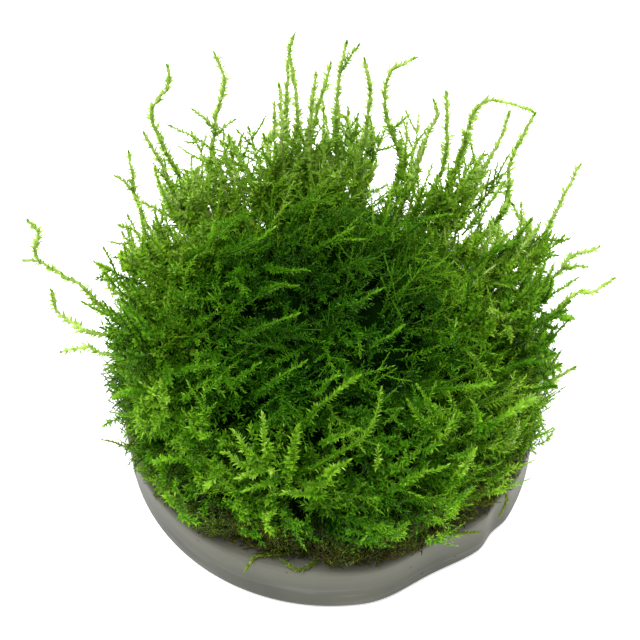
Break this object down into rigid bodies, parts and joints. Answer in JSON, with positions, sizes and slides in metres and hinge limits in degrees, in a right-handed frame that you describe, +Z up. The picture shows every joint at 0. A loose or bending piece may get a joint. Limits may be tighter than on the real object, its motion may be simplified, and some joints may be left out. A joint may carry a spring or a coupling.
{
  "type": "moss clump",
  "caption": "Dense clump of leafy aquarium moss with long stray stems, growing on a flat disc of pale translucent nutrient gel that it stands on.",
  "frame": {"origin": "centre of the gel disc's flat underside", "axes": "+Z up out of the gel through the moss; -Y is the side the picture shows; +X is the picture's right"},
  "size_m": [0.0971, 0.0776, 0.0634],
  "materials": {
    "gel": "wet, translucent",
    "moss": "leafy, slightly glossy",
    "young_moss": "leafy, translucent",
    "old_moss": "leafy, matt"
  },
  "bodies": {
    "root": {"gel_pad": "gel", "moss_cushion": "moss", "stem_left_hooked": "young_moss", "stem_left_prop": "young_moss", "stem_left_flat": "young_moss", "stem_left_short": "young_moss", "stem_left_upper": "young_moss", "stem_left_slim": "young_moss", "stem_kinked_left": "young_moss", "stem_kinked_twin": "young_moss", "stem_branched": "young_moss", "stem_back_tall_left": "young_moss", "stem_back_tall_right": "young_moss", "stem_back_short_left": "young_moss", "stem_back_short_right": "young_moss", "stem_back_slanted": "young_moss", "stem_back_crossing": "young_moss", "stem_back_forked": "young_moss", "stem_back_slim": "young_moss", "stem_kinked_right": "young_moss", "stem_right_curved": "young_moss", "stem_right_straight": "young_moss", "stem_arch_rise": "young_moss", "stem_arch_fall": "young_moss", "stem_under_arch": "young_moss", "stem_right_long": "young_moss", "stem_right_upper_stub": "young_moss", "stem_right_paired": "young_moss", "stem_right_sweeping": "young_moss", "stem_right_flat": "young_moss", "creeper_front_left": "old_moss", "creeper_front": "old_moss", "creeper_front_right": "old_moss", "creeper_right": "old_moss", "creeper_left": "old_moss", "creeper_back": "old_moss"}
  },
  "joints": []
}
